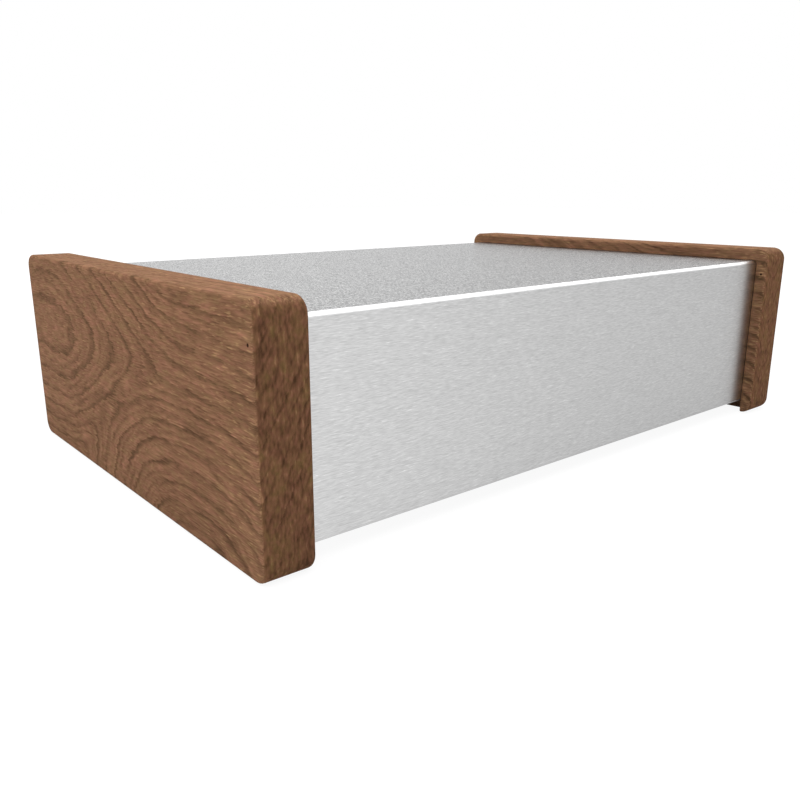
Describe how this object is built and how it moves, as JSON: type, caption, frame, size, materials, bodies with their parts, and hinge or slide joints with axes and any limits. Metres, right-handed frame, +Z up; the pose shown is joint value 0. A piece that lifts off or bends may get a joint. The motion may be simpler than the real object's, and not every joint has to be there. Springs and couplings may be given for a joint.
{
  "type": "electronics chassis",
  "caption": "Folded aluminium electronics chassis with a screwed bottom plate, its ends set in rebates in solid wood cheeks with rounded edges that stand it clear of the table.",
  "frame": {"origin": "centre of the footprint, on the surface that the cheeks stand on", "axes": "+X along the width to the right, +Y to the rear, so the front panel faces -Y, +Z up"},
  "size_m": [0.3, 0.2, 0.0824],
  "materials": {
    "brushed_aluminium": "fine short brushing along the width, clear anodised",
    "mill_aluminium": "plain mill finish with faint rolling lines",
    "brown_wood": "oiled, open grain, mid to dark brown with arched figure",
    "zinc_steel": "bright zinc plating"
  },
  "bodies": {
    "root": {"chassis": "brushed_aluminium", "bottom_plate": "mill_aluminium", "left_cheek": "brown_wood", "right_cheek": "brown_wood", "plate_screws": "zinc_steel", "clinch_nuts": "zinc_steel", "left_cheek_screws": "zinc_steel", "right_cheek_screws": "zinc_steel"}
  },
  "joints": []
}
